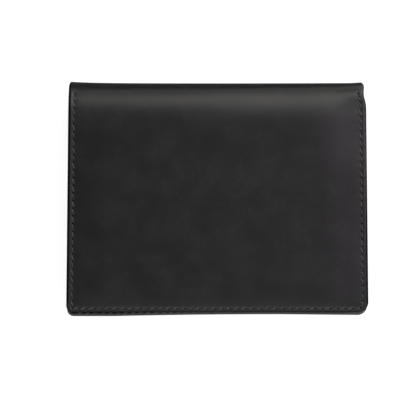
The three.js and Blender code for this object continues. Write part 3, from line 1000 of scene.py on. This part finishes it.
class WALLET_OT_shell(bpy.types.Operator):
    """Makes the outer leather of both halves, from its turned free edge to the middle of the fold"""

    bl_idname = "wallet.shell"
    bl_label = "Outer leather"

    def execute(self, context):
        material = cover_leather(context.scene)
        for half in HALVES:
            self.cover(CoverForm(context.scene, half), material)
        return {"FINISHED"}

    def cover(self, form, material):
        """One half's sheet, with its edge turned in to the height of the hem."""
        half, shell = form.half, form.shell
        edge, hem_step = COVER_HIGH.z / 2, 0.001
        rim_gap, rim_spread = 0.0004, 0.0006
        columns, rows = self.lines(edge)
        across, run, gap = form.grid(0.0, columns, rows, shell.bottom_corner, shell.mouth_corner)
        crown = form.crown(across, run)
        count, beside = form.along_seam(across, run, gap)
        pulled = form.relief(count, beside, gap)
        rounding = edge_round(gap, edge)
        hem = (COVER_HIGH.z - shell.cover_leather) * smooth((shell.hem_width - gap) / hem_step + 0.5)
        thickness = shell.cover_leather + hem
        outer = form.place(across, run, crown + rounding + pulled * smooth(gap / edge))
        inner = form.place(across, run, crown + thickness - rounding)
        flat = as_points(across, run) + HALVES.index(half)
        none = np.zeros(gap.shape)
        marks = {
            "edge_gap": (gap + self.paint_rubbed_off(across, run), gap + edge),
            "stitch_count": (count, count),
            "beside_seam": (beside, none + FAR_FROM_SEAM),
            "crease": (none, none),
            "spine": (self.spine(form, across, run), none),
            # rim_highlight: the turned rim's inner side, painted light as a painted highlight
            "rim_highlight": (none, hump(gap, rim_gap, rim_spread)),
        }
        made = slab(f"{half}_outer_leather", half, outer, inner, flat, marks, cut_end=True)
        nodes = (f"{half}_cover", "fold_leather")
        finish_piece(made, half, material, nodes, bends=True)

    def lines(self, edge):
        """Grid lines across and along the sheet, close together at the sewn edges."""
        sewn = 0.0046
        sewn_step = 0.00033
        column_step = 0.00068
        row_step = 0.00054
        fine = grid_lines(sewn, sewn_step, edge, 0.0)
        middle = grid_lines(WIDTH - 2 * sewn, column_step, 0.0, 0.0) + sewn
        columns = np.concatenate([fine, middle[1:-1], (WIDTH - fine)[::-1]])
        rows = np.concatenate([fine, grid_lines(SHEET_LENGTH - sewn, row_step, 0.0, 0.0)[1:] + sewn])
        return columns, rows

    def spine(self, form, across, run):
        """Share of the back of the fold that is matt and painted darker as a painted dark reflection, which
        starts further round towards the mouth.
        """
        start, later_at_mouth, blend = math.radians(33), math.radians(11.5), math.radians(20)
        start = start + later_at_mouth * np.square(across / WIDTH)
        return smooth((form.turn(run) - start) / blend)

    def paint_rubbed_off(self, across, run):
        """Width of edge paint that is rubbed off along the mouth side and the free edge."""
        at_mouth, at_free_edge, least_handled = 0.0008, 0.00068, 0.2
        least_run, most_run = 0.005, 0.09
        mouth_reach, mouth_full = 0.012, 0.006
        free_reach, free_full = 0.006, 0.002
        handled = least_handled + (1.0 - least_handled) * ramp(run, least_run, most_run)
        mouth_side = handled * ramp(across, WIDTH - mouth_reach, WIDTH - mouth_full)
        free_side = ramp(run, free_reach, free_full)
        return np.maximum(at_mouth * mouth_side, at_free_edge * free_side)


class WALLET_OT_lining(bpy.types.Operator):
    """Makes the stiffener board and the cloth lining of both halves"""

    bl_idname = "wallet.lining"
    bl_label = "Board and lining"

    def execute(self, context):
        hem_clearance = 0.0001
        board = board_material(context.scene)
        cloth = lining_cloth(context.scene)
        for half in HALVES:
            form = CoverForm(context.scene, half)
            inset = form.shell.hem_width + hem_clearance
            self.board(form, inset, board)
            self.cloth(form, inset, cloth)
        return {"FINISHED"}

    def layer(self, form, name, inset, end, bottom, thickness):
        """A thin sheet inside the hem, on a bottom depth that is given along the run."""
        step, edge, corner = 0.0015, 0.0001, 0.001
        columns = grid_lines(WIDTH - 2 * inset, step, edge, edge) + inset
        rows = grid_lines(end - inset, step, edge, 0.0) + inset
        across, run, gap = form.grid(inset, columns, rows, corner, corner)
        half_thick = thickness / 2 * clamp(gap / edge)
        middle = bottom(run) + form.crown(across, run) + thickness / 2
        lower = form.place(across, run, middle - half_thick)
        upper = form.place(across, run, middle + half_thick)
        flat = as_points(across, run)
        return slab(name, form.half, lower, upper, flat, {"edge_gap": (gap, gap)}, cut_end=True)

    def board(self, form, inset, material):
        """The flat board in a cover."""
        half, end = form.half, BOARD_HIGH.y - FREE_EDGE

        def bottom(run):
            return BOARD_LOW.z

        made = self.layer(form, f"{half}_board", inset, end, bottom, BOARD_HIGH.z - BOARD_LOW.z)
        finish_piece(made, half, material, [f"{half}_stiffener"])

    def cloth(self, form, inset, material):
        """The lining, which lies on the board and past it on the leather of the fold."""
        clearance = 0.00005
        on_fold = form.shell.cover_leather + clearance
        half, past_board = form.half, BOARD_HIGH.y - FREE_EDGE

        def bottom(run):
            return LINING_LOW.z + (on_fold - LINING_LOW.z) * ramp(run, past_board, COVER_LENGTH)

        thickness = LINING_HIGH.z - LINING_LOW.z
        made = self.layer(form, f"{half}_lining", inset, SHEET_LENGTH, bottom, thickness)
        nodes = (f"{half}_cover_lining", "fold_lining")
        finish_piece(made, half, material, nodes, bends=True)


def layer_box(number):
    """Corners of the inner panel, or of a card pocket by its number, in the rear half."""
    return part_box(f"rear_card_pocket_{number}") if number else (PANEL_LOW, PANEL_HIGH)


def flange_top(number):
    """Height of a layer's upper side where it is sewn down on the hem."""
    return HEM_TOP + (PANEL_LEATHER + LAYER_GAP) * (number + 1)


def binding_top(number):
    """Height of a layer's upper side where it is sewn to the panel beside the fold."""
    return PANEL_HIGH.z + (PANEL_LEATHER + LAYER_GAP) * number


def layers_at(x):
    """How many card pockets lie on the panel at a place along it, easing over each lip."""
    past_lip, before_lip = 0.0006, 0.0003
    lips = [layer_box(number)[1].x for number in POCKETS]
    return sum(ramp(x, lip + past_lip, lip - before_lip) for lip in lips)


def climb(bottom_gap, free_gap):
    """How far a sewn layer has risen from the hem to its full height, by its distances to two edges."""
    blend = 0.0005
    far = 0.05
    foot = 0.0032
    head = 0.0058
    from_bottom = np.exp(-np.minimum(bottom_gap, far) / blend)
    from_free_edge = np.exp(-np.minimum(free_gap, far) / blend)
    return ramp(-blend * np.log(from_bottom + from_free_edge), foot, head)


class WALLET_OT_pockets(bpy.types.Operator):
    """Makes the inner panel, the card pockets and the binding strip of both halves"""

    bl_idname = "wallet.pockets"
    bl_label = "Panels and pockets"

    def execute(self, context):
        material = inner_leather(context.scene)
        for half in HALVES:
            form = CoverForm(context.scene, half)
            panel = self.panel(form, 0)
            bands = (f"{half}_inner_panel", f"{half}_end_edge_band", f"{half}_bottom_edge_band")
            finish_piece(panel, half, material, bands)
            for number in POCKETS:
                pocket = self.panel(form, number)
                finish_piece(pocket, half, material, [f"{half}_card_pocket_{number}"])
            binding = self.binding(half)
            finish_piece(binding, half, material, [f"{half}_pocket_binding"])
        return {"FINISHED"}

    def panel(self, form, number):
        """The inner panel, or a card pocket by its number. It lies on the hem at its sewn edges."""
        loose_length = 0.006
        before_binding = 0.0009
        on_binding = 0.0004
        sag = 0.00006
        sag_length = 0.03
        crease_depth = 0.00012
        crease_width = 0.0003
        crease_shade = 0.0004
        crease_fade = 0.002
        half = form.half
        low, high = layer_box(number)
        thickness = high.z - low.z
        edge = thickness / 2
        setback = form.shell.flange_setback
        start = FREE_EDGE + setback
        columns, rows = self.lines(high.x + HALF_WIDTH - setback, BINDING_HIGH.y - start, edge)
        across, run = np.meshgrid(columns, rows)
        total = columns[-1]
        across, run, gap = rounded_corner(across, run, form.shell.bottom_corner - setback)
        gap = np.minimum(gap, np.minimum(total - across, rows[-1] - run))
        side, _ = form.sides(run + setback)
        x = side + setback + across * (high.x - side - setback) / total
        y = start + run + form.free_edge_shift(x, run)
        risen = climb(across + setback, run + setback)
        loose = ramp(y, FOLD_LINE - loose_length, FOLD_LINE)
        risen = 1.0 - (1.0 - risen) * (1.0 - loose)
        base = flange_top(number) - thickness
        z = base + (low.z - base) * risen
        if number:
            beside_fold = ramp(y, BINDING_LOW.y - before_binding, BINDING_LOW.y + on_binding)
            z = z + (binding_top(number) - thickness - z) * beside_fold
        z = z + sag * ripple(x, y, sag_length, PANEL_SEED + number) * risen
        from_lip = total - across
        crease = crease_depth * hump(from_lip, LIP_CREASE, crease_width) * smooth(gap / crease_fade)
        rounding = edge_round(gap, edge)
        lower = as_points(x, y, z + rounding)
        upper = as_points(x, y, z + thickness - rounding - crease)
        flat = as_points(x, y) + LAYER_APART * number + HALF_APART * HALVES.index(half)
        name = f"{half}_card_pocket_leather_{number}" if number else f"{half}_inner_panel_leather"
        none = np.zeros(gap.shape)
        # the crease mark gives the crease beside the lip painted shade
        marks = {"edge_gap": (gap, gap), "crease": (none, hump(from_lip, LIP_CREASE, crease_shade))}
        return slab(name, half, lower, upper, flat, marks)

    def lines(self, width, reach, edge):
        """Grid lines across and along a layer, closer together at its lip's crease and where it climbs."""
        step = 0.0011
        crease_reach = 0.0006
        climb_start = 0.0026
        climb_end = 0.0056
        crease_lines, climb_lines = 5, 9
        columns = grid_lines(width, step, edge, edge)
        at_crease = columns[-1] - LIP_CREASE - np.linspace(-crease_reach, crease_reach, crease_lines)
        rows = grid_lines(reach, step, edge, edge)
        on_climb = np.linspace(climb_start, climb_end, climb_lines)
        return np.sort(np.concatenate([columns, at_crease])), np.sort(np.concatenate([rows, on_climb]))

    def binding(self, half):
        """The strip folded round the sewn edges of the panel and pockets beside the fold, stepped over the
        lips."""
        leather = 0.0004
        strip_width = 0.008
        step = 0.0008
        share_step = 0.04
        share_round = 0.05
        x = grid_lines(PANEL_HIGH.x - PANEL_LOW.x, step, leather, leather)[:, None] + PANEL_LOW.x
        share = grid_lines(1.0, share_step, share_round, share_round)[None, :]
        outer = self.wrap(x, share, leather, 0.0)
        inner = self.wrap(x, share, leather, leather)
        x, share = np.broadcast_arrays(x, share)
        ends = np.minimum(x - x[0], x[-1] - x)
        gap = np.minimum(ends, strip_width * np.minimum(share, 1.0 - share))
        closed = clamp(gap / (leather / 2))[..., None]
        middle = (outer + inner) / 2
        outer = middle + (outer - middle) * closed
        inner = middle + (inner - middle) * closed
        flat = as_points(x, strip_width * share) + BINDING_APART
        none = np.zeros(gap.shape)
        marks = {"edge_gap": (gap, gap), "crease": (none, none)}
        return slab(f"{half}_binding_strip", half, outer, inner, flat, marks)

    def wrap(self, x, share, leather, inset):
        """Points round the strip, from its edge under the panel to its edge on top, at an inset from its
        outer side."""
        flat_share = 0.3
        round_share = 0.4
        round_depth = 0.0006
        clearance = 0.00005
        overlap = 0.0012
        near, far = BINDING_LOW.y - overlap, BINDING_HIGH.y + leather
        top = binding_top(layers_at(x)) + leather + clearance
        foot = PANEL_LOW.z - leather - clearance
        turn = math.pi * clamp((share - flat_share) / round_share)
        run_in = clamp(share / flat_share)
        run_out = clamp((share - flat_share - round_share) / flat_share)
        y = near + (far - near - round_depth) * (run_in - run_out) + (round_depth - inset) * np.sin(turn)
        z = (top + foot) / 2 - ((top - foot) / 2 - inset) * np.cos(turn)
        return as_points(x, y, z)


class WALLET_OT_stitches(bpy.types.Operator):
    """Sews the covers, the panels' mouths, the bindings, the sewn edges and the pocket floors"""

    bl_idname = "wallet.stitches"
    bl_label = "Stitching"

    def execute(self, context):
        seam = context.scene.wallet_seam
        thread = thread_material(context.scene)
        for half in HALVES:
            form = CoverForm(context.scene, half)
            made = stitch_row(f"{half}_topstitch", [self.cover_row(form)], seam, thread)
            finish_piece(made, half, thread, [f"{half}_seam_thread"], bends=True)
            floors = [f"{half}_pocket_floor_stitch_{number}" for number in POCKETS[:-1]]
            rows = [self.mouth_row(form), self.binding_row(half), self.edge_row(form)]
            rows += [self.floor_row(half, node) for node in floors]
            made = stitch_row(f"{half}_pocket_stitches", rows, seam, thread)
            finish_piece(made, half, thread, floors)
        return {"FINISHED"}

    def cover_row(self, form):
        """The row round a cover's three sides and over the ends of the fold."""
        seam = form.seam
        spare = round(0.5 * seam.pitch / COVER_ROW_STEP)
        across, run = form.seam_line()[spare:-spare].T
        proud_share = 0.65
        depth = form.crown(across, run) + seam.groove - proud_share * seam.thread_radius
        points, facing = form.place(across, run, depth), form.facing(run)
        if form.half == "front":
            facing = facing * (1.0, 1.0, -1.0)
        return to_half(points, form.half), facing

    def mouth_row(self, form):
        """The row along the inner panel's mouth."""
        free_gap, binding_gap = 0.009, 0.002
        y = np.arange(FREE_EDGE + free_gap, BINDING_LOW.y - binding_gap, INNER_ROW_STEP)
        return self.inner_row(form.half, PANEL_HIGH.x - form.seam.inset, y, PANEL_HIGH.z + self.lift(form))

    def binding_row(self, half):
        """The row on the binding strip beside the fold."""
        bottom_gap = 0.003
        mouth_gap = 0.002
        off_middle = 0.0006
        on_strip = 0.00055
        x = np.arange(PANEL_LOW.x + bottom_gap, PANEL_HIGH.x - mouth_gap, INNER_ROW_STEP)
        y = (BINDING_LOW.y + BINDING_HIGH.y) / 2 - off_middle
        return self.inner_row(half, x, y, binding_top(layers_at(x)) + on_strip)

    def edge_row(self, form):
        """The inner side of the cover's seam on the sewn edges, from the mouth to the fold."""
        short_of_fold, short_of_mouth, corner = 0.008, 0.002, 0.0013
        ends = np.array([0.0, COVER_LENGTH - short_of_fold])
        low = form.seam.inset + form.sides(ends)[0]
        near = FREE_EDGE + form.seam.free_inset
        corners = [
            (PANEL_HIGH.x - short_of_mouth, near),
            (low[0] + corner, near),
            (low[0], near + corner),
            (low[1], FOLD_LINE - short_of_fold),
        ]
        x, y = evenly(np.array(corners), INNER_ROW_STEP).T
        y = y + form.free_edge_shift(x, y - FREE_EDGE)
        return self.inner_row(form.half, x, y, flange_top(layers_at(x)) + self.lift(form))

    def floor_row(self, half, node):
        """A row that closes the bottom of a card pocket, where the frame has it."""
        end_gap = 0.001
        low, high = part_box(node)
        y = np.arange(low.y + end_gap, high.y - end_gap, INNER_ROW_STEP)
        middle = (low.z + high.z) / 2
        height = middle if half == "rear" else THICKNESS - middle
        return self.inner_row(half, (low.x + high.x) / 2, y, height)

    def lift(self, form):
        """How far the middle of the thread lies above the leather inside."""
        lift_share = 0.3
        return lift_share * form.seam.thread_radius

    def inner_row(self, half, x, y, z):
        """A row inside a half, given in the rear half, with its directions towards the wallet's middle."""
        points = as_points(x, y, z)
        up = 1.0 if half == "rear" else -1.0
        return to_half(points, half), np.tile((0.0, 0.0, up), (len(points), 1))


class WALLET_OT_stage(bpy.types.Operator):
    """Makes the floor, the lights and the camera"""

    bl_idname = "wallet.stage"
    bl_label = "Stage"

    def execute(self, context):
        scene = context.scene
        scene.view_settings.view_transform = "Standard"
        self.floor(scene)
        self.world(scene)
        self.lights(scene)
        self.camera(scene)
        return {"FINISHED"}

    def floor(self, scene):
        """A pale floor just below the stitches, which the camera and reflections see as nearly white."""
        reach, low, brightness = 1.5, -0.0003, 0.93
        corners = [(-reach, -reach, low), (reach, -reach, low), (reach, reach, low), (-reach, reach, low)]
        mesh = bpy.data.meshes.new("floor")
        mesh.from_pydata(corners, [], [(0, 1, 2, 3)])
        floor = bpy.data.objects.new("floor", mesh)
        scene.collection.objects.link(floor)
        material, tree, shader = blank_material("pale_floor")
        ray = add_node(tree, "ShaderNodeLightPath").outputs
        seen = larger(ray["Is Camera Ray"], ray["Is Glossy Ray"])
        seen = larger(seen, ray["Is Transmission Ray"])
        finish = {
            "Base Color": (*scene.wallet_finish.floor_colour, 1.0),
            "Roughness": 0.9,
            "Emission Color": (1.0, 1.0, 1.0, 1.0),
            "Emission Strength": times(seen, brightness),
        }
        set_inputs(shader, finish)
        mesh.materials.append(material)

    def world(self, scene):
        """Faint white light from all round."""
        world = bpy.data.worlds.new("studio")
        world.use_nodes = True
        scene.world = world
        sky = {"Color": (1.0, 1.0, 1.0, 1.0), "Strength": 0.11}
        set_inputs(world.node_tree.nodes["Background"], sky)

    def lights(self, scene):
        """Soft lamps, each with its place, power, size and colour."""
        warm, plum, cool = (1.0, 0.985, 0.955), (1.0, 0.78, 1.07), (1.0, 0.99, 1.01)
        self.lamp(scene, "fold_softbox", (0.08, 0.585, 0.546), 1.54, (0.3, 0.36), warm)
        self.lamp(scene, "top_softbox", (0.3, 0.325, 0.73), 1.9, (0.7, 0.27), warm)
        self.lamp(scene, "mouth_softbox", (0.4, 0.742, 0.3), 3.3, (0.6, 0.22), warm)
        self.lamp(scene, "side_softbox", (0.45, 0.05, 0.78), 1.0, (0.4, 0.5), plum)
        self.lamp(scene, "free_edge_strip", (0.1, -0.42, 0.68), 1.8, (0.9, 0.3), cool)

    def lamp(self, scene, name, place, power, size, colour):
        """A soft rectangular light aimed at the wallet."""
        data = bpy.data.lights.new(name, "AREA")
        data.shape = "RECTANGLE"
        data.size, data.size_y = size
        data.energy = power
        data.color = colour
        lamp = bpy.data.objects.new(name, data)
        scene.collection.objects.link(lamp)
        lamp.location = place
        aim = -lamp.location
        lamp.rotation_euler = aim.to_track_quat("-Z", "Y").to_euler()

    def camera(self, scene):
        """Looks straight down on the front cover, with the fold at the top of the picture."""
        data = bpy.data.cameras.new("camera")
        height, shown_width, middle = 2.5, 0.1718, (-0.00743, -0.0005)
        data.sensor_width = 36.0
        data.lens = data.sensor_width * (height - THICKNESS) / shown_width
        camera = bpy.data.objects.new("camera", data)
        camera.location = (*middle, height)
        scene.collection.objects.link(camera)
        scene.camera = camera


class WALLET_PT_panel(bpy.types.Panel):
    """Lists the wallet's settings and steps"""

    bl_label = "Wallet"
    bl_idname = "WALLET_PT_panel"
    bl_space_type = "VIEW_3D"
    bl_region_type = "UI"
    bl_category = "Wallet"

    def draw(self, context):
        for group in SETTINGS:
            settings = getattr(context.scene, group)
            box = self.layout.box()
            for name in settings.__annotations__:
                box.prop(settings, name)
        for step in STEPS:
            self.layout.operator(step.bl_idname)


SETTINGS = {"wallet_shell": ShellSettings, "wallet_seam": SeamSettings, "wallet_finish": FinishSettings}
STEPS = (WALLET_OT_shell, WALLET_OT_lining, WALLET_OT_pockets, WALLET_OT_stitches, WALLET_OT_stage)
CLASSES = (*SETTINGS.values(), *STEPS, WALLET_PT_panel)


def register():
    for item in CLASSES:
        bpy.utils.register_class(item)
    for name, settings in SETTINGS.items():
        setattr(bpy.types.Scene, name, PointerProperty(type=settings))


def unregister():
    for name in SETTINGS:
        delattr(bpy.types.Scene, name)
    for item in reversed(CLASSES):
        bpy.utils.unregister_class(item)


def main():
    register()
    bpy.ops.wallet.shell()
    bpy.ops.wallet.lining()
    bpy.ops.wallet.pockets()
    bpy.ops.wallet.stitches()
    bpy.ops.wallet.stage()


if __name__ == "__main__":
    main()
